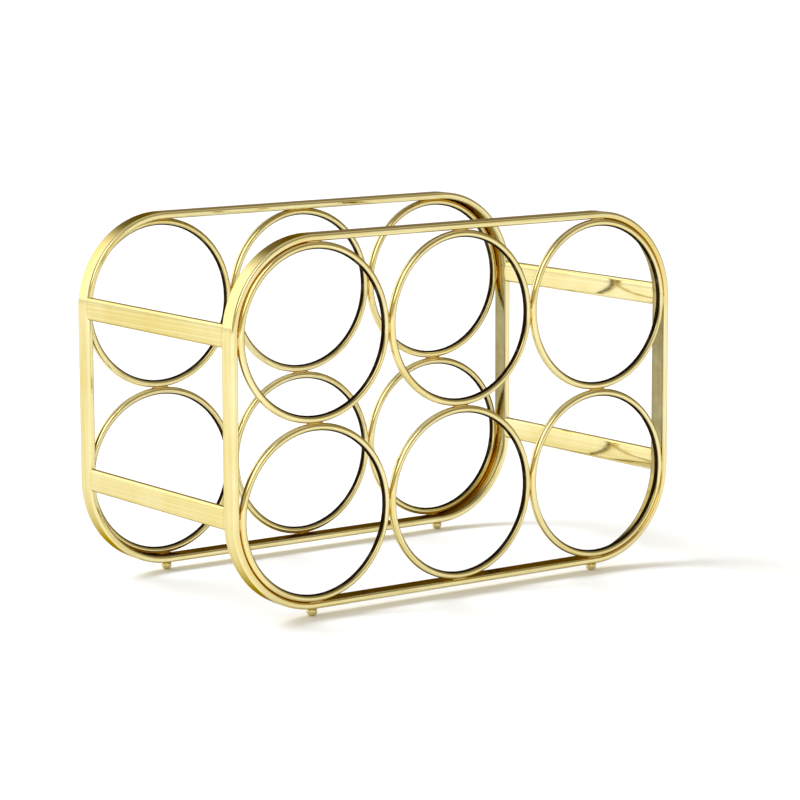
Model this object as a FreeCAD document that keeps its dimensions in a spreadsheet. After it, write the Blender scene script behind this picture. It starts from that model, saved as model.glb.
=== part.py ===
import FreeCAD, Part
import math
import os
import Sketcher

# A countertop wine rack for six bottles: two hoops of flat bar, one in front and one behind,
# each filled with three columns and two rows of wire rings, joined by four cross bars and
# standing on four ball feet. +Y points to the back of the rack, +X to its right, +Z up.
# The origin is on the surface that the rack stands on, under its middle.

SIZES = (
    # alias, millimetres
    ("ring_diameter", 104.0),       # outside of a ring, and the pitch of the cells
    ("ring_wire", 4.5),             # round wire that the rings are bent from
    ("bar_thickness", 4.2),         # flat bar of the hoops and of the cross bars
    ("bar_width", 11.8),            # flat bar of the hoops, front to back
    ("bar_edge_radius", 1.5),       # rounded edges of both bars
    ("cross_bar_width", 13.6),      # flat bar between the hoops, bottom edge to top edge
    ("cross_bar_lift", 1.5),        # cross bar's middle above the height of its ring's middle
    ("rack_depth", 170.5),          # front of the front hoop to the back of the back hoop
    ("foot_height", 5.0),           # hoop's underside above the surface
    ("foot_diameter", 6.2),         # ball of a foot
    ("foot_flat", 2.0),             # flat on the bottom of the ball
)

COLUMNS = (("left", -1), ("middle", 0), ("right", 1))
ROWS = (("lower", -1), ("upper", 1))
HOOPS = (("front", -1), ("back", 1))
SIDES = (("left", -1), ("right", 1))

# What is worked out from the sizes, as expressions on the sheet.
CORNER_RADIUS = "(sizes.ring_diameter / 2 + sizes.bar_thickness / 2)"
HOOP_MIDLINE_WIDTH = "(3 * sizes.ring_diameter + sizes.bar_thickness)"
HOOP_MIDLINE_HEIGHT = "(2 * sizes.ring_diameter + sizes.bar_thickness)"
HOOP_MIDDLE_Y = "(sizes.rack_depth / 2 - sizes.bar_width / 2)"
HOOP_MIDDLE_Z = "(sizes.foot_height + sizes.bar_thickness + sizes.ring_diameter)"
RING_MIDDLE_Y = "(sizes.rack_depth / 2 - sizes.bar_edge_radius)"
RING_MIDLINE_RADIUS = "(sizes.ring_diameter / 2 - sizes.ring_wire / 2)"
CROSS_BAR_BLANK_LENGTH = "(sizes.rack_depth - 2 * sizes.bar_width + 2 * sizes.bar_edge_radius)"


def new_sheet(doc):
    """The driving sizes, one named cell each."""
    sheet = doc.addObject("Spreadsheet::Sheet", "sizes")
    for row, (alias, value) in enumerate(SIZES, start=1):
        sheet.set("A%d" % row, alias)
        sheet.set("B%d" % row, str(value))
        sheet.setAlias("B%d" % row, alias)
    doc.recompute()
    return sheet


def new_body(doc, label):
    body = doc.addObject("PartDesign::Body", label)
    body.Label = label
    return body


def new_sketch(body, name, plane_role):
    """A sketch on one of the body's own origin planes."""
    sketch = body.newObject("Sketcher::SketchObject", name)
    for feature in body.Origin.OriginFeatures:
        if feature.Role == plane_role:
            sketch.AttachmentSupport = [(feature, "")]
    sketch.MapMode = "FlatFace"
    return sketch


def bind(sketch, constraint, label, expression):
    """Adds a dimension to the sketch and ties it to the sheet."""
    index = sketch.addConstraint(constraint)
    sketch.renameConstraint(index, label)
    sketch.setExpression("Constraints." + label, expression)


def move(item, x="0", y="0", z="0"):
    """Ties the item's place to the sheet."""
    item.setExpression("Placement.Base.x", x)
    item.setExpression("Placement.Base.y", y)
    item.setExpression("Placement.Base.z", z)


def draw_rounded_rectangle(sketch, width, height, radius):
    """A rectangle with four round corners about the sketch's origin, along its two axes."""
    half_w, half_h, corner = 20.0, 10.0, 2.0
    arcs = []
    for number, (across, up) in enumerate(((1, 1), (-1, 1), (-1, -1), (1, -1))):
        middle = FreeCAD.Vector(across * (half_w - corner), up * (half_h - corner), 0)
        circle = Part.Circle(middle, FreeCAD.Vector(0, 0, 1), corner)
        start = number * math.pi / 2
        arcs.append(sketch.addGeometry(Part.ArcOfCircle(circle, start, start + math.pi / 2)))
    for number, arc in enumerate(arcs):
        following = arcs[(number + 1) % 4]
        side = Part.LineSegment(sketch.getPoint(arc, 2), sketch.getPoint(following, 1))
        line = sketch.addGeometry(side)
        sketch.addConstraint(Sketcher.Constraint("Tangent", arc, 2, line, 1))
        sketch.addConstraint(Sketcher.Constraint("Tangent", line, 2, following, 1))
        direction = "Vertical" if number % 2 else "Horizontal"
        sketch.addConstraint(Sketcher.Constraint(direction, line))
    for arc in arcs[1:]:
        sketch.addConstraint(Sketcher.Constraint("Equal", arcs[0], arc))
    sketch.addConstraint(Sketcher.Constraint("Symmetric", arcs[0], 3, arcs[2], 3, -1, 1))
    bind(sketch, Sketcher.Constraint("Radius", arcs[0], corner), "corner", radius)
    across = Sketcher.Constraint("DistanceX", arcs[1], 3, arcs[0], 3, 2 * (half_w - corner))
    bind(sketch, across, "across", "%s - 2 * %s" % (width, radius))
    upward = Sketcher.Constraint("DistanceY", arcs[2], 3, arcs[1], 3, 2 * (half_h - corner))
    bind(sketch, upward, "upward", "%s - 2 * %s" % (height, radius))


def make_hoop(doc, label, toward_back):
    """Flat bar bent edge-on into a rounded rectangle, its wide side facing out."""
    body = new_body(doc, label)
    path = new_sketch(body, label + "_path", "XZ_Plane")
    draw_rounded_rectangle(path, HOOP_MIDLINE_WIDTH, HOOP_MIDLINE_HEIGHT, CORNER_RADIUS)
    section = new_sketch(body, label + "_section", "YZ_Plane")
    draw_rounded_rectangle(section, "sizes.bar_width", "sizes.bar_thickness", "sizes.bar_edge_radius")
    section.setExpression("AttachmentOffset.Base.y", HOOP_MIDLINE_HEIGHT + " / 2")
    doc.recompute()
    bar = body.newObject("PartDesign::AdditivePipe", label + "_bar")
    bar.Profile = section
    bar.Spine = (path, [])
    body.Tip = bar
    move(body, y="%d * %s" % (toward_back, HOOP_MIDDLE_Y), z=HOOP_MIDDLE_Z)
    return body


def make_ring(doc, label, column, row, toward_back):
    """Round wire bent into a ring, its axis front to back."""
    body = new_body(doc, label)
    section = new_sketch(body, label + "_section", "XY_Plane")
    circle = Part.Circle(FreeCAD.Vector(50, 0, 0), FreeCAD.Vector(0, 0, 1), 2)
    wire = section.addGeometry(circle)
    section.addConstraint(Sketcher.Constraint("PointOnObject", wire, 3, -1))
    bind(section, Sketcher.Constraint("DistanceX", -1, 1, wire, 3, 50), "midline", RING_MIDLINE_RADIUS)
    bind(section, Sketcher.Constraint("Radius", wire, 2), "wire", "sizes.ring_wire / 2")
    doc.recompute()
    turned = body.newObject("PartDesign::Revolution", label + "_wire")
    turned.Profile = section
    turned.ReferenceAxis = (section, ["V_Axis"])
    turned.Angle = 360
    body.Tip = turned
    move(
        body,
        x="%d * sizes.ring_diameter" % column,
        y="%d * %s" % (toward_back, RING_MIDDLE_Y),
        z="%s + %d * sizes.ring_diameter / 2" % (HOOP_MIDDLE_Z, row),
    )
    return body


def make_cross_bar(doc, label, side, row, hoops):
    """Flat bar on edge between the hoops, its ends shaped to the hoops' rounded edges."""
    blank = new_body(doc, label + "_blank")
    section = new_sketch(blank, label + "_section", "XZ_Plane")
    draw_rounded_rectangle(
        section, "sizes.bar_thickness", "sizes.cross_bar_width", "sizes.bar_edge_radius"
    )
    doc.recompute()
    bar = blank.newObject("PartDesign::Pad", label + "_bar")
    bar.Profile = section
    bar.SideType = "Symmetric"
    bar.setExpression("Length", CROSS_BAR_BLANK_LENGTH)
    blank.Tip = bar
    move(
        blank,
        x="%d * %s / 2" % (side, HOOP_MIDLINE_WIDTH),
        z="%s + %d * sizes.ring_diameter / 2 + sizes.cross_bar_lift" % (HOOP_MIDDLE_Z, row),
    )
    shaped = doc.addObject("Part::Cut", label)
    shaped.Label = label
    shaped.Base = blank
    shaped.Tool = hoops
    return shaped


def make_foot(doc, label, side, toward_back):
    """Turned ball with a small flat to stand on, cut level where it meets the hoop."""
    body = new_body(doc, label)
    profile = new_sketch(body, label + "_profile", "XZ_Plane")
    radius, top, bottom = 3.0, 2.0, -2.9
    start = math.asin(bottom / radius)
    end = math.asin(top / radius)
    circle = Part.Circle(FreeCAD.Vector(0, 0, 0), FreeCAD.Vector(0, 0, 1), radius)
    ball = profile.addGeometry(Part.ArcOfCircle(circle, start, end))
    corners = (
        profile.getPoint(ball, 2),
        FreeCAD.Vector(0, top, 0),
        FreeCAD.Vector(0, bottom, 0),
        profile.getPoint(ball, 1),
    )
    lines = []
    for first, second in zip(corners, corners[1:]):
        lines.append(profile.addGeometry(Part.LineSegment(first, second)))
    seat, axis, flat = lines
    profile.addConstraint(Sketcher.Constraint("Coincident", ball, 2, seat, 1))
    profile.addConstraint(Sketcher.Constraint("Coincident", seat, 2, axis, 1))
    profile.addConstraint(Sketcher.Constraint("Coincident", axis, 2, flat, 1))
    profile.addConstraint(Sketcher.Constraint("Coincident", flat, 2, ball, 1))
    profile.addConstraint(Sketcher.Constraint("PointOnObject", ball, 3, -2))
    profile.addConstraint(Sketcher.Constraint("PointOnObject", axis, 1, -2))
    profile.addConstraint(Sketcher.Constraint("PointOnObject", axis, 2, -1))
    profile.addConstraint(Sketcher.Constraint("Horizontal", seat))
    profile.addConstraint(Sketcher.Constraint("Horizontal", flat))
    profile.addConstraint(Sketcher.Constraint("Vertical", axis))
    bind(profile, Sketcher.Constraint("Radius", ball, radius), "ball", "sizes.foot_diameter / 2")
    bind(profile, Sketcher.Constraint("DistanceX", flat, 1, flat, 2, 1), "flat", "sizes.foot_flat / 2")
    bind(profile, Sketcher.Constraint("DistanceY", axis, 2, axis, 1, 5), "rise", "sizes.foot_height")
    doc.recompute()
    turned = body.newObject("PartDesign::Revolution", label + "_ball")
    turned.Profile = profile
    turned.ReferenceAxis = (profile, ["V_Axis"])
    turned.Angle = 360
    body.Tip = turned
    move(body, x="%d * sizes.ring_diameter" % side, y="%d * %s" % (toward_back, HOOP_MIDDLE_Y))
    return body


def make_rack(doc):
    """Every piece of the rack, in the order it is put together."""
    pieces = []
    for place, toward_back in HOOPS:
        pieces.append(make_hoop(doc, place + "_hoop", toward_back))
        for height, row in ROWS:
            for across, column in COLUMNS:
                label = "%s_ring_%s_%s" % (place, height, across)
                pieces.append(make_ring(doc, label, column, row, toward_back))
    hoops = doc.addObject("Part::Compound", "hoops")
    hoops.Links = [piece for piece in pieces if piece.Label.endswith("_hoop")]
    for hand, side in SIDES:
        for height, row in ROWS:
            label = "cross_bar_%s_%s" % (height, hand)
            pieces.append(make_cross_bar(doc, label, side, row, hoops))
    for place, toward_back in HOOPS:
        for hand, side in SIDES:
            pieces.append(make_foot(doc, "foot_%s_%s" % (place, hand), side, toward_back))
    doc.recompute()
    return pieces


def check(doc, pieces):
    """Stops before anything is written if a feature failed or a shape is unsound."""
    for item in doc.Objects:
        if "Invalid" in item.State or "Error" in item.State:
            raise RuntimeError("%s failed: %s" % (item.Name, item.State))
    for piece in pieces:
        if piece.Shape.isNull() or not piece.Shape.isValid():
            raise RuntimeError("%s has no sound shape" % piece.Label)
        if len(piece.Shape.Solids) != 1:
            raise RuntimeError("%s has %d solids" % (piece.Label, len(piece.Shape.Solids)))


def write(pieces):
    os.makedirs("parts", exist_ok=True)
    for piece in pieces:
        piece.Shape.exportStep(os.path.join("parts", piece.Label + ".step"))


document = FreeCAD.newDocument("wine_rack")
new_sheet(document)
rack = make_rack(document)
check(document, rack)
write(rack)
for piece in rack:
    box = piece.Shape.optimalBoundingBox(False)
    print(
        "%-26s volume %9.1f mm3  x %7.2f..%7.2f  y %7.2f..%7.2f  z %7.2f..%7.2f"
        % (piece.Label, piece.Shape.Volume, box.XMin, box.XMax, box.YMin, box.YMax, box.ZMin, box.ZMax)
    )
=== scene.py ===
import math

import bmesh
import bpy
from mathutils import Matrix, Vector


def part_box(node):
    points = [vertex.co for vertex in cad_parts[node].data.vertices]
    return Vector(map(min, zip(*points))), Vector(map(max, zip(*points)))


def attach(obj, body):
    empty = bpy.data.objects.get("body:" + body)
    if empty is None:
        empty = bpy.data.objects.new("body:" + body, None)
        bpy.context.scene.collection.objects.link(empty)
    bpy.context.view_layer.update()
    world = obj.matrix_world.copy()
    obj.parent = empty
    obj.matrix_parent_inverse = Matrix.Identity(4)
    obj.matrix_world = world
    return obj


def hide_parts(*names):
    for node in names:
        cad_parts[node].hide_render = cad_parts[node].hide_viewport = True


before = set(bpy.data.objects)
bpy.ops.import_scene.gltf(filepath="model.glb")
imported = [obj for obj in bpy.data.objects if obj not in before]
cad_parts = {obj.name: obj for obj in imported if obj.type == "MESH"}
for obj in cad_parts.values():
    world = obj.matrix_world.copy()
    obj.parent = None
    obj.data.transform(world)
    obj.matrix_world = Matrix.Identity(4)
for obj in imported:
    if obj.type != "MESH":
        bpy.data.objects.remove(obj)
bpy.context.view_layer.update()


# ---------------------------------------------------------------------------------------------
# Hoops, front and back: steel flat bar with softly rounded edges, bent the easy way into a
# rounded rectangle, its ends butt-welded and dressed flush. Polished, then plated pale gold.

SCENE = bpy.context.scene
MM = 0.001

HOOP_EDGE_RADIUS = 1.5 * MM
HOOP_EDGE_STEPS = 10            # facets round each edge of the bar
HOOP_CORNER_STEPS = 60          # stations round each bend
FLAT_GUARD = 0.12 * MM          # narrow strip that keeps a flat flat beside a rounded edge
RUN_STEP = 2.6 * MM             # stations along a straight run

# The hoop's inner face gets a dark reflection painted into the plate colour.
INNER_FACE_SHADE = 0.6          # how far the painted shade darkens the hoop's inner face
INNER_FACE_BLEND = 0.9 * MM     # depth over which that fades out round the edge

PALE_GOLD = (0.80, 0.715, 0.40, 1.0)
WARM_GOLD = (0.70, 0.585, 0.225, 1.0)
EDGE_GOLD = (0.32, 0.22, 0.05, 1.0)             # the plate seen almost edge-on
# Golden-brown painted shade for the crevices beside each joint, mixed into the plate colour.
PAINTED_CREVICE_SHADE_GOLD = (0.70, 0.46, 0.08, 1.0)
# Near-black painted reflection for the insides of the rings and hoops, mixed into the plate
# colour.
PAINTED_INSIDE_SHADE_BROWN = (0.020, 0.011, 0.003, 1.0)
GLOSS_SPREAD = 0.4              # share by which the roughness varies from line to line
PAINTED_SHADE_ROUGHNESS = 0.10       # roughness added where shade is painted in the crevices and on the insides
LINE_RELIEF = 0.10              # height of the fine lines, as a share of the waviness

NUMBER_A, NUMBER_B = 2, 3       # sockets of a Mix node that mixes numbers
COLOUR_A, COLOUR_B = 6, 7       # and of one that mixes colours
COLOUR_MIXED = 2


def bar_outline(bm, thickness, width, edge_radius, edge_steps):
    """The cross section of a flat bar as one closed loop of edges in the XY plane, X being its
    thickness. Each point keeps where it is in the section as the attribute "section"."""
    bmesh.ops.create_grid(bm, x_segments=1, y_segments=1, size=0.5)
    bmesh.ops.scale(bm, vec=(thickness, width, 1.0), verts=bm.verts)
    bmesh.ops.bevel(bm, geom=bm.verts[:], offset=edge_radius, offset_type="OFFSET",
                    segments=edge_steps, profile=0.5, affect="VERTICES", material=-1)
    for axis, size in ((Vector((1, 0, 0)), thickness), (Vector((0, 1, 0)), width)):
        reach = size / 2 - edge_radius - FLAT_GUARD
        for side in (-1, 1) if reach > 0 else ():
            bmesh.ops.bisect_plane(bm, geom=bm.verts[:] + bm.edges[:] + bm.faces[:], dist=1e-7,
                                   plane_co=axis * side * reach, plane_no=axis)
    bmesh.ops.dissolve_faces(bm, faces=bm.faces[:], use_verts=False)
    bmesh.ops.delete(bm, geom=bm.faces[:], context="FACES_ONLY")
    section = bm.verts.layers.float_vector.new("section")
    for vert in bm.verts:
        vert[section] = vert.co


def run_on(bm, edges, offset):
    """Draws a loop of edges out in a straight run. Returns the loop at its far end."""
    stations = max(1, round(offset.length / RUN_STEP))
    for _ in range(stations):
        drawn = bmesh.ops.extrude_edge_only(bm, edges=edges)["geom"]
        far = {g for g in drawn if isinstance(g, bmesh.types.BMVert)}
        bmesh.ops.translate(bm, verts=list(far), vec=offset / stations)
        edges = [g for g in drawn if isinstance(g, bmesh.types.BMEdge) and set(g.verts) <= far]
    return edges


def bend_on(bm, edges, centre, axis, angle, steps):
    """Draws a loop of edges round a bend. Returns the loop at its far end."""
    turned = bmesh.ops.spin(bm, geom=edges, cent=centre, axis=axis, dvec=(0, 0, 0),
                            angle=angle, steps=steps, use_merge=False, use_duplicate=False)
    return [g for g in turned["geom_last"] if isinstance(g, bmesh.types.BMEdge)]


def finished_piece(bm, name, material):
    """Closes a mesh, turns its faces outwards, shades it smooth and makes it an object."""
    bmesh.ops.remove_doubles(bm, verts=bm.verts, dist=2e-6)
    bmesh.ops.recalc_face_normals(bm, faces=bm.faces)
    for face in bm.faces:
        face.smooth = True
    mesh = bpy.data.meshes.new(name)
    bm.to_mesh(mesh)
    bm.free()
    mesh.materials.append(material)
    piece = bpy.data.objects.new(name, mesh)
    SCENE.collection.objects.link(piece)
    return piece


def new_group(name, inputs, outputs):
    """An empty shader node group. Each socket is given as (name, kind, value)."""
    tree = bpy.data.node_groups.new(name, "ShaderNodeTree")
    for direction, sockets in (("INPUT", inputs), ("OUTPUT", outputs)):
        for label, kind, value in sockets:
            socket = tree.interface.new_socket(label, in_out=direction,
                                               socket_type="NodeSocket" + kind)
            if value is not None:
                socket.default_value = value
    return tree, tree.nodes.new("NodeGroupInput"), tree.nodes.new("NodeGroupOutput")


def add(tree, kind, links=(), **settings):
    """Adds a node. Plain settings go on the node, and links are (input, source or value)."""
    node = tree.nodes.new("ShaderNode" + kind)
    for key, value in settings.items():
        setattr(node, key, value)
    for key, source in links:
        if isinstance(source, bpy.types.NodeSocket):
            tree.links.new(source, node.inputs[key])
        else:
            node.inputs[key].default_value = source
    return node


def plating_tone_group():
    """Pale and warm patches of the plate, a few centimetres across, streaked along the bar."""
    tree, given, out = new_group(
        "plating_tone",
        (("Vector", "Vector", None), ("Line", "Float", 0.5), ("Pale", "Color", PALE_GOLD),
         ("Warm", "Color", WARM_GOLD), ("Patches per metre", "Float", 28.0),
         ("Streaks", "Float", 0.62)),
        (("Color", "Color", None),))
    clouds = add(tree, "TexNoise", (("Vector", given.outputs["Vector"]),
                                    ("Scale", given.outputs["Patches per metre"]),
                                    ("Detail", 3.0), ("Roughness", 0.55)))
    both = add(tree, "Mix", (("Factor", given.outputs["Streaks"]),
                             (NUMBER_A, clouds.outputs["Fac"]),
                             (NUMBER_B, given.outputs["Line"])), data_type="FLOAT")
    spread = add(tree, "MapRange", (("Value", both.outputs[0]), ("From Min", 0.38),
                                    ("From Max", 0.66)), interpolation_type="SMOOTHSTEP")
    blend = add(tree, "Mix", (("Factor", spread.outputs["Result"]),
                              (COLOUR_A, given.outputs["Pale"]),
                              (COLOUR_B, given.outputs["Warm"])), data_type="RGBA")
    tree.links.new(blend.outputs[COLOUR_MIXED], out.inputs["Color"])
    return tree


def buffing_group():
    """Fine lines that the buffing wheel leaves along a bar or wire, and the slow waviness
    under them. Section is where a point lies in the bar's cross section."""
    tree, given, out = new_group(
        "buffing",
        (("Vector", "Vector", None), ("Section", "Vector", None),
         ("Lines per metre", "Float", 900.0), ("Drift", "Float", 14.0)),
        (("Line", "Float", None), ("Wave", "Float", None)))
    across = add(tree, "VectorMath", ((0, given.outputs["Section"]),
                                      ("Scale", given.outputs["Lines per metre"])),
                 operation="SCALE")
    along = add(tree, "VectorMath", ((0, given.outputs["Vector"]),
                                     ("Scale", given.outputs["Drift"])), operation="SCALE")
    place = add(tree, "VectorMath", ((0, across.outputs[0]), (1, along.outputs[0])),
                operation="ADD")
    lines = add(tree, "TexNoise", (("Vector", place.outputs[0]), ("Scale", 1.0),
                                   ("Detail", 4.0), ("Roughness", 0.6)))
    waves = add(tree, "TexNoise", (("Vector", given.outputs["Vector"]), ("Scale", 60.0),
                                   ("Detail", 1.0), ("Roughness", 0.4)))
    tree.links.new(lines.outputs["Fac"], out.inputs["Line"])
    tree.links.new(waves.outputs["Fac"], out.inputs["Wave"])
    return tree


def shade_group():
    """Paints shade into the plate colour: a dark reflection on the inside of the rings and
    hoops, and golden-brown shade in the crevices beside a joint. Mottled, so that no edge is
    drawn."""
    tree, given, out = new_group(
        "painted_inside_and_crevice_shade",
        (("Vector", "Vector", None), ("Crevice", "Float", 0.0), ("Inside", "Float", 0.0),
         ("Colour", "Color", None)),
        (("Color", "Color", None), ("Mask", "Float", None)))
    clouds = add(tree, "TexNoise", (("Vector", given.outputs["Vector"]), ("Scale", 140.0),
                                    ("Detail", 2.0)))
    mottle = add(tree, "MapRange", (("Value", clouds.outputs["Fac"]), ("From Min", 0.3),
                                    ("From Max", 0.7), ("To Min", 0.94), ("To Max", 1.10)))
    colour, masks = given.outputs["Colour"], []
    # The inside mask paints a dark reflection, and the crevice mask paints golden-brown shade.
    for label, shade in (("Inside", PAINTED_INSIDE_SHADE_BROWN), ("Crevice", PAINTED_CREVICE_SHADE_GOLD)):
        mask = add(tree, "Math", ((0, given.outputs[label]), (1, mottle.outputs["Result"])),
                   operation="MULTIPLY", use_clamp=True)
        colour = add(tree, "Mix", (("Factor", mask.outputs[0]), (COLOUR_A, colour),
                                   (COLOUR_B, shade)), data_type="RGBA").outputs[COLOUR_MIXED]
        masks.append(mask.outputs[0])
    either = add(tree, "Math", ((0, masks[0]), (1, masks[1])), operation="MAXIMUM")
    tree.links.new(colour, out.inputs["Color"])
    tree.links.new(either.outputs[0], out.inputs["Mask"])
    return tree


PLATING_TONE = plating_tone_group()
BUFFING = buffing_group()
SHADE = shade_group()


def plated(name, roughness, relief_depth):
    """Polished gold plate, with shade painted in where a piece stores a crevice or an inside."""
    material = bpy.data.materials.new(name)
    material.use_nodes = True
    tree = material.node_tree
    shader = tree.nodes["Principled BSDF"]
    shader.inputs["Metallic"].default_value = 1.0
    shader.inputs["Specular Tint"].default_value = EDGE_GOLD
    place = add(tree, "TexCoord").outputs["Object"]
    section = add(tree, "Attribute", attribute_name="section").outputs["Vector"]
    crevice = add(tree, "Attribute", attribute_name="crevice").outputs["Fac"]
    inside = add(tree, "Attribute", attribute_name="inside").outputs["Fac"]
    buffing = add(tree, "Group", (("Vector", place), ("Section", section)), node_tree=BUFFING)
    tone = add(tree, "Group", (("Vector", place), ("Line", buffing.outputs["Line"])),
               node_tree=PLATING_TONE)
    shade = add(tree, "Group", (("Vector", place), ("Crevice", crevice), ("Inside", inside),
                                ("Colour", tone.outputs["Color"])), node_tree=SHADE)
    tree.links.new(shade.outputs["Color"], shader.inputs["Base Color"])
    gloss = add(tree, "MapRange", (("Value", buffing.outputs["Line"]), ("From Min", 0.3),
                                   ("From Max", 0.7),
                                   ("To Min", roughness * (1 - GLOSS_SPREAD)),
                                   ("To Max", roughness * (1 + GLOSS_SPREAD))))
    dulled = add(tree, "Math", ((0, shade.outputs["Mask"]), (1, PAINTED_SHADE_ROUGHNESS),
                                (2, gloss.outputs["Result"])), operation="MULTIPLY_ADD")
    tree.links.new(dulled.outputs[0], shader.inputs["Roughness"])
    relief = add(tree, "Math", ((0, buffing.outputs["Line"]), (1, LINE_RELIEF),
                                (2, buffing.outputs["Wave"])), operation="MULTIPLY_ADD")
    bump = add(tree, "Bump", (("Strength", 1.0), ("Distance", relief_depth),
                              ("Height", relief.outputs[0])))
    tree.links.new(bump.outputs["Normal"], shader.inputs["Normal"])
    return material


BAR_GOLD = plated("bar_gold", 0.07, 0.03 * MM)

hoop_low, hoop_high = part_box("front_hoop")
RING_BOXES = {name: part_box(name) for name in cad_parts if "_ring_" in name}
any_low, any_high = RING_BOXES["front_ring_upper_right"]
WIRE = any_high.y - any_low.y
RING_RADIUS = (any_high.x - any_low.x) / 2
BAR_THICKNESS = hoop_high.z - any_high.z
BAR_WIDTH = hoop_high.y - hoop_low.y
HOOP_MIDDLE = (hoop_low + hoop_high) / 2
HALF_INSIDE = (hoop_high - hoop_low) / 2 - Vector((BAR_THICKNESS, 0, BAR_THICKNESS))
CREVICE_REACH = 1.2 * MM        # gap at which the painted crevice shade has mostly faded out


def ring_gap(point, name):
    """Clear distance from a point to a ring's wire."""
    low, high = RING_BOXES[name]
    middle = (low + high) / 2
    across = math.hypot(point.x - middle.x, point.z - middle.z) - (RING_RADIUS - WIRE / 2)
    return math.hypot(across, point.y - middle.y) - WIRE / 2


def hoop_gap(point):
    """Clear distance from a point to the bar of the nearer hoop."""
    beyond_x = abs(point.x) - (HALF_INSIDE.x - RING_RADIUS)
    beyond_z = abs(point.z - HOOP_MIDDLE.z) - (HALF_INSIDE.z - RING_RADIUS)
    outline = (math.hypot(max(beyond_x, 0), max(beyond_z, 0))
               + min(max(beyond_x, beyond_z), 0) - RING_RADIUS)
    over = abs(outline - BAR_THICKNESS / 2) - (BAR_THICKNESS / 2 - HOOP_EDGE_RADIUS)
    bar_y = math.copysign(abs(HOOP_MIDDLE.y), point.y)
    aside = abs(point.y - bar_y) - (BAR_WIDTH / 2 - HOOP_EDGE_RADIUS)
    return (math.hypot(max(over, 0), max(aside, 0)) + min(max(over, aside), 0)
            - HOOP_EDGE_RADIUS)


def mark_shade(piece, gap, inside):
    """Stores on each point the masks for painted shade: how deep it lies in a crevice and how
    much it faces inwards.
    """
    mesh = piece.data
    sections = [tuple(item.vector) for item in mesh.attributes["section"].data]
    for label, values in (
            ("crevice", [math.exp(-(max(gap(v.co), 0) / CREVICE_REACH) ** 2)
                         for v in mesh.vertices]),
            ("inside", [inside(*section) for section in sections])):
        mesh.attributes.new(label, "FLOAT", "POINT").data.foreach_set("value", values)


def smooth_step(value, start, end):
    """Rises from 0 at the start to 1 at the end, with no corner at either."""
    share = min(max((value - start) / (end - start), 0), 1)
    return share * share * (3 - 2 * share)


def hoop(name):
    """Starts at the middle of the top run and draws the bar round four runs and four bends."""
    low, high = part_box(name)
    bend_radius = RING_RADIUS + BAR_THICKNESS / 2
    bm = bmesh.new()
    bar_outline(bm, BAR_THICKNESS, BAR_WIDTH, HOOP_EDGE_RADIUS, HOOP_EDGE_STEPS)
    stand_up = Matrix.Rotation(math.radians(-90), 4, "Y")
    bmesh.ops.transform(bm, matrix=Matrix.Translation(
        (0, (low.y + high.y) / 2, high.z - BAR_THICKNESS / 2)) @ stand_up, verts=bm.verts)
    loop = bm.edges[:]
    half_top = high.x - BAR_THICKNESS / 2 - bend_radius
    side = high.z - low.z - BAR_THICKNESS - 2 * bend_radius
    spans = (half_top, side, 2 * half_top, side, half_top)
    ways = ((1, 0), (0, -1), (-1, 0), (0, 1), (1, 0))
    corners = ((1, 1), (1, -1), (-1, -1), (-1, 1))
    for turn, (span, (way_x, way_z)) in enumerate(zip(spans, ways)):
        loop = run_on(bm, loop, Vector((way_x, 0, way_z)) * span)
        if turn < len(corners):
            corner_x, corner_z = corners[turn]
            centre = Vector((corner_x * half_top, 0, HOOP_MIDDLE.z + corner_z * side / 2))
            loop = bend_on(bm, loop, centre, (0, 1, 0), math.radians(90), HOOP_CORNER_STEPS)
    piece = finished_piece(bm, name + "_bar", BAR_GOLD)
    own_rings = [ring for ring in RING_BOXES if ring.startswith(name.split("_")[0])]
    inner_face = -BAR_THICKNESS / 2
    # Painted shade: golden-brown in the crevices beside the rings, and a dark reflection painted
    # on the inner face.
    mark_shade(piece, lambda point: min(ring_gap(point, ring) for ring in own_rings),
               lambda out, *_: INNER_FACE_SHADE * (
                   1 - smooth_step(out, inner_face, inner_face + INNER_FACE_BLEND)))
    return piece


for name in ("front_hoop", "back_hoop"):
    piece = hoop(name)
    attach(piece, "root")
    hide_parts(name)


# ---------------------------------------------------------------------------------------------
# Rings: round steel wire bent into a circle, its ends butt-welded. Six stand in each hoop,
# touching each other and the hoop, and each cradles one end of a bottle. Plated like the bar.

WIRE_STEPS = 32                 # facets round the wire
RING_STEPS = 216                # stations round the ring
INSIDE_SHADE_FROM = 0.45            # how squarely a point faces the middle of the ring, from 0 to 1, where the painted dark reflection starts and where it is full
INSIDE_SHADE_TO = 0.72              # where the darkening starts and where it is full

WIRE_GOLD = plated("wire_gold", 0.055, 0.015 * MM)


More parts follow.
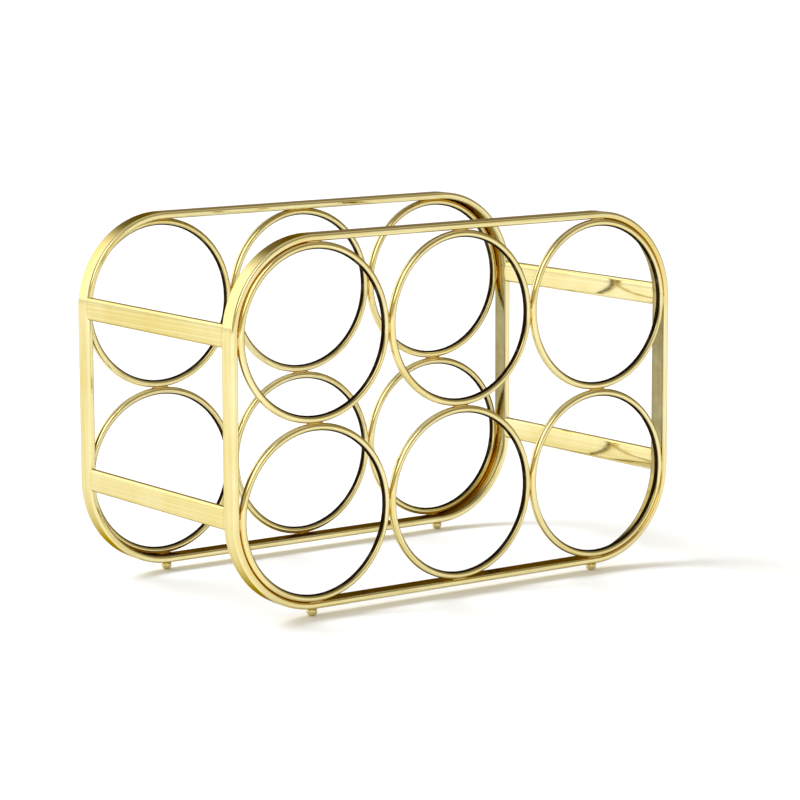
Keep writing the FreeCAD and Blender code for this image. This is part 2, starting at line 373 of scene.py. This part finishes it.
def ring(name):
    """Spins the wire's round section once about the ring's own axis."""
    low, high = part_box(name)
    middle = (low + high) / 2
    bm = bmesh.new()
    bmesh.ops.create_circle(bm, cap_ends=False, segments=WIRE_STEPS, radius=WIRE / 2)
    section = bm.verts.layers.float_vector.new("section")
    for vert in bm.verts:
        vert[section] = vert.co
    arm = Vector((RING_RADIUS - WIRE / 2, 0, 0))
    bmesh.ops.translate(bm, verts=bm.verts, vec=middle + arm)
    bmesh.ops.spin(bm, geom=bm.verts[:] + bm.edges[:], cent=middle, axis=(0, 1, 0),
                   dvec=(0, 0, 0), angle=math.radians(360), steps=RING_STEPS,
                   use_merge=True, use_duplicate=False)
    piece = finished_piece(bm, name + "_wire", WIRE_GOLD)
    neighbours = [other for other in RING_BOXES
                  if other != name and other.startswith(name.split("_")[0])]
    # Painted shade: golden-brown in the crevices beside the hoop and the other rings, and a dark
    # reflection painted on the inside of the wire.
    mark_shade(piece,
               lambda point: min([hoop_gap(point)]
                                 + [ring_gap(point, other) for other in neighbours]),
               lambda out, *_: smooth_step(-out / (WIRE / 2), INSIDE_SHADE_FROM, INSIDE_SHADE_TO))
    return piece


for side in ("front", "back"):
    for row in ("lower", "upper"):
        for column in ("left", "middle", "right"):
            name = "%s_ring_%s_%s" % (side, row, column)
            piece = ring(name)
            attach(piece, "root")
            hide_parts(name)


# ---------------------------------------------------------------------------------------------
# Welds: a small steel bead wherever two rings touch, and where a ring touches the hoop. Dressed
# by hand before plating, so that each fills its crevice and leaves only a low swelling.

BEAD_HALF = Vector((0.75 * MM, 1.45 * MM, 5.5 * MM))    # across the joint, in depth and along
BEAD_FACETS = 32
TOUCHING = 2.02                 # rings whose middles are within this many radii touch


def joint_places(side):
    """Each contact in one hoop, as (x, z, angle of the line that joins the two pieces)."""
    own = [box for ring, box in RING_BOXES.items() if ring.startswith(side)]
    middles = [(low + high) / 2 for low, high in own]
    for at, one in enumerate(middles):
        for other in middles[at + 1:]:
            apart = other - one
            if apart.length < TOUCHING * RING_RADIUS:
                yield ((one.x + other.x) / 2, (one.z + other.z) / 2,
                       math.atan2(apart.z, apart.x))
        above = math.copysign(1, one.z - HOOP_MIDDLE.z)
        beside = math.copysign(1, one.x)
        outward = ((0, above),) if abs(one.x) < MM else ((0, above), (beside, 0))
        for way_x, way_z in outward:
            yield (one.x + way_x * RING_RADIUS, one.z + way_z * RING_RADIUS,
                   math.atan2(way_z, way_x))


def welds(side):
    """All the beads of one hoop, as one piece."""
    low, high = RING_BOXES[side + "_ring_upper_middle"]
    bm = bmesh.new()
    section = bm.verts.layers.float_vector.new("section")
    for x, z, angle in joint_places(side):
        place = (Matrix.Translation((x, (low.y + high.y) / 2, z))
                 @ Matrix.Rotation(-angle, 4, "Y") @ Matrix.Diagonal((*BEAD_HALF, 1)))
        made = bmesh.ops.create_uvsphere(bm, u_segments=BEAD_FACETS,
                                         v_segments=BEAD_FACETS // 2, radius=1, matrix=place)
        for vert in made["verts"]:
            vert[section] = vert.co - place.translation
    piece = finished_piece(bm, side + "_welds", WIRE_GOLD)
    # Painted crevice shade, at one even strength over every bead.
    mark_shade(piece, lambda point: CREVICE_REACH, lambda *_: 0.0)
    return piece


for side in ("front", "back"):
    piece = welds(side)
    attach(piece, "root")


# ---------------------------------------------------------------------------------------------
# Cross bars: straight lengths of flat bar on edge, butt-welded between the two hoops at the
# height of each row, flush with the outside of the hoops.

CROWN = 0.5 * MM                # how far the wide faces fall away towards their edges
CROWN_STEPS = 10
END_FADE = 4                    # how fast the painted crevice shade at each end fades along the bar


def cross_bar(name):
    """Crowns the wide faces of the outline, lays it down and draws it out from hoop to hoop."""
    low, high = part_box(name)
    half_width = (high.z - low.z) / 2
    narrowing = CROWN / ((high.x - low.x) / 2)
    bm = bmesh.new()
    bar_outline(bm, high.x - low.x, high.z - low.z, HOOP_EDGE_RADIUS, HOOP_EDGE_STEPS)
    faces = [edge for edge in bm.edges if edge.calc_length() > half_width]
    bmesh.ops.subdivide_edges(bm, edges=faces, cuts=CROWN_STEPS)
    section = bm.verts.layers.float_vector["section"]
    for vert in bm.verts:
        vert.co.x *= 1 - narrowing * (vert.co.y / half_width) ** 2
        vert[section] = vert.co
    lay_down = Matrix.Rotation(math.radians(90), 4, "X")
    bmesh.ops.transform(bm, matrix=Matrix.Translation(
        ((low.x + high.x) / 2, low.y, (low.z + high.z) / 2)) @ lay_down, verts=bm.verts)
    sawn = bm.edges[:]
    sawn += run_on(bm, sawn, Vector((0, high.y - low.y, 0)))
    bmesh.ops.holes_fill(bm, edges=sawn)
    for edge in sawn:
        edge.smooth = False
    piece = finished_piece(bm, name + "_bar", BAR_GOLD)
    # Painted crevice shade at each end, where the bar meets a hoop.
    mark_shade(piece, lambda point: CREVICE_REACH + END_FADE * (high.y - abs(point.y)),
               lambda *_: 0.0)
    return piece


for row in ("lower", "upper"):
    for side in ("left", "right"):
        name = "cross_bar_%s_%s" % (row, side)
        piece = cross_bar(name)
        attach(piece, "root")
        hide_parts(name)


# ---------------------------------------------------------------------------------------------
# Feet: turned steel balls welded under the hoops below the middle of the end rings, with a
# small flat where each stands on the table. Polished and plated with the rest.

FOOT_FACETS = 48                # facets round each ball
FOOT_BANDS = 32                 # bands from top to bottom
FOOT_FLAT_RADIUS = 1.0 * MM

FOOT_GOLD = plated("foot_gold", 0.08, 0.02 * MM)


def foot(name):
    """A ball cut off at the table and closed with the flat that it stands on."""
    low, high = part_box(name)
    middle = (low + high) / 2
    radius = (high.x - low.x) / 2
    bm = bmesh.new()
    bmesh.ops.create_uvsphere(bm, u_segments=FOOT_FACETS, v_segments=FOOT_BANDS,
                              radius=radius)
    centre_height = math.sqrt(radius ** 2 - FOOT_FLAT_RADIUS ** 2)
    bmesh.ops.translate(bm, verts=bm.verts, vec=(middle.x, middle.y, low.z + centre_height))
    bmesh.ops.bisect_plane(bm, geom=bm.verts[:] + bm.edges[:] + bm.faces[:], dist=1e-7,
                           plane_co=(0, 0, low.z), plane_no=(0, 0, -1), clear_outer=True)
    rim = [edge for edge in bm.edges if edge.is_boundary]
    bmesh.ops.edgeloop_fill(bm, edges=rim)
    section = bm.verts.layers.float_vector.new("section")
    for vert in bm.verts:
        vert[section] = vert.co - middle
    piece = finished_piece(bm, name + "_ball", FOOT_GOLD)
    # Painted crevice shade, strongest at the top where the ball meets the hoop.
    mark_shade(piece, lambda point: high.z - point.z, lambda *_: 0.0)
    return piece


for depth in ("front", "back"):
    for side in ("left", "right"):
        name = "foot_%s_%s" % (depth, side)
        piece = foot(name)
        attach(piece, "root")
        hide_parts(name)


# ---------------------------------------------------------------------------------------------
# Studio: a plain pale paper floor, soft light from behind on the left, and a long lens. The
# walls that the metal mirrors are dim and warm, with a bright window on the left behind.

FLOOR_REACH = 30.0
PAPER_WHITE = (0.93, 0.93, 0.93, 1.0)
WALL_TONES = ((0.20, (0.62, 0.55, 0.36, 1.0)), (0.36, (0.32, 0.27, 0.17, 1.0)),
              (0.62, (0.34, 0.31, 0.25, 1.0)), (0.80, (0.64, 0.62, 0.58, 1.0)))
HORIZON_TONE = (0.64, 0.57, 0.38, 1.0)
CEILING_TONE = (0.66, 0.65, 0.63, 1.0)
WINDOW_TONE = (1.80, 1.77, 1.70, 1.0)
WINDOW_WAY = Vector((-0.48, 0.86, 0.16)).normalized()
BACKDROP_TONE = (0.95, 0.95, 0.94, 1.0)

floor_bm = bmesh.new()
bmesh.ops.create_grid(floor_bm, x_segments=1, y_segments=1, size=FLOOR_REACH)
floor_mesh = bpy.data.meshes.new("floor")
floor_bm.to_mesh(floor_mesh)
floor_bm.free()
floor = bpy.data.objects.new("floor", floor_mesh)
SCENE.collection.objects.link(floor)
paper = bpy.data.materials.new("paper")
paper.use_nodes = True
paper_shader = paper.node_tree.nodes["Principled BSDF"]
paper_shader.inputs["Base Color"].default_value = PAPER_WHITE
paper_shader.inputs["Roughness"].default_value = 0.6
paper_shader.inputs["Specular IOR Level"].default_value = 0.2
floor_mesh.materials.append(paper)

world = bpy.data.worlds.new("studio")
SCENE.world = world
world.use_nodes = True
sky = world.node_tree
background = sky.nodes["Background"]
background.inputs["Strength"].default_value = 1.0
direction = add(sky, "TexCoord").outputs["Generated"]
height = add(sky, "SeparateXYZ", (("Vector", direction),)).outputs["Z"]
ramp = add(sky, "ValToRGB", (("Fac", height),))
bottom, top = ramp.color_ramp.elements
bottom.position, bottom.color = 0.0, HORIZON_TONE
top.position, top.color = 1.0, CEILING_TONE
for position, tone in WALL_TONES:
    ramp.color_ramp.elements.new(position).color = tone
facing = add(sky, "VectorMath", ((0, direction), (1, WINDOW_WAY)), operation="DOT_PRODUCT")
glow = add(sky, "MapRange", (("Value", facing.outputs["Value"]), ("From Min", 0.70),
                             ("From Max", 0.92)), interpolation_type="SMOOTHSTEP")
walls = add(sky, "Mix", (("Factor", glow.outputs["Result"]), (COLOUR_A, ramp.outputs["Color"]),
                         (COLOUR_B, WINDOW_TONE)), data_type="RGBA")
seen = add(sky, "LightPath").outputs["Is Camera Ray"]
around = add(sky, "Mix", (("Factor", seen), (COLOUR_A, walls.outputs[COLOUR_MIXED]),
                          (COLOUR_B, BACKDROP_TONE)), data_type="RGBA")
sky.links.new(around.outputs[COLOUR_MIXED], background.inputs["Color"])


def soft_light(name, place, aim, size, power, mirrored):
    """A square light aimed at a point. The metal shows it only if it is mirrored."""
    light = bpy.data.lights.new(name, "AREA")
    light.size = size
    light.energy = power
    lamp = bpy.data.objects.new(name, light)
    lamp.location = place
    lamp.rotation_euler = (Vector(aim) - Vector(place)).to_track_quat("-Z", "Y").to_euler()
    lamp.visible_glossy = mirrored
    SCENE.collection.objects.link(lamp)


sun = bpy.data.lights.new("key", "SUN")
sun.energy = 2.5
sun.angle = math.radians(30)
sun.color = (0.84, 0.89, 1.0)
key = bpy.data.objects.new("key", sun)
key.rotation_euler = Vector((-0.45, 0.60, 0.85)).to_track_quat("Z", "Y").to_euler()
key.visible_glossy = False
SCENE.collection.objects.link(key)

soft_light("window", (-1.6, 1.6, 2.2), (-0.9, 1.0, 0.0), 3.0, 20.0, False)
soft_light("backdrop", (3.5, 6.0, 4.0), (3.0, 5.0, 0.0), 6.0, 40.0, False)
soft_light("front", (-1.3, -2.0, 1.5), (-0.6, -0.75, 0.0), 1.9, 24.0, True)

CAMERA_PLACE = Vector((-1.0842, -1.5165, 0.4046))
CAMERA_YAW = 0.628              # radians to the right of straight ahead
CAMERA_PITCH = 0.159            # radians down
CAMERA_ROLL = -0.003
LENS = 139.06                   # focal length in mm
SENSOR_WIDTH = 36.0

view = bpy.data.cameras.new("camera")
view.lens = LENS
view.sensor_width = SENSOR_WIDTH
view.clip_end = 100.0
camera = bpy.data.objects.new("camera", view)
camera.matrix_world = (Matrix.Translation(CAMERA_PLACE) @ Matrix.Rotation(-CAMERA_YAW, 4, "Z")
                       @ Matrix.Rotation(math.radians(90) - CAMERA_PITCH, 4, "X")
                       @ Matrix.Rotation(CAMERA_ROLL, 4, "Z"))
SCENE.collection.objects.link(camera)
SCENE.camera = camera
SCENE.view_settings.view_transform = "Standard"
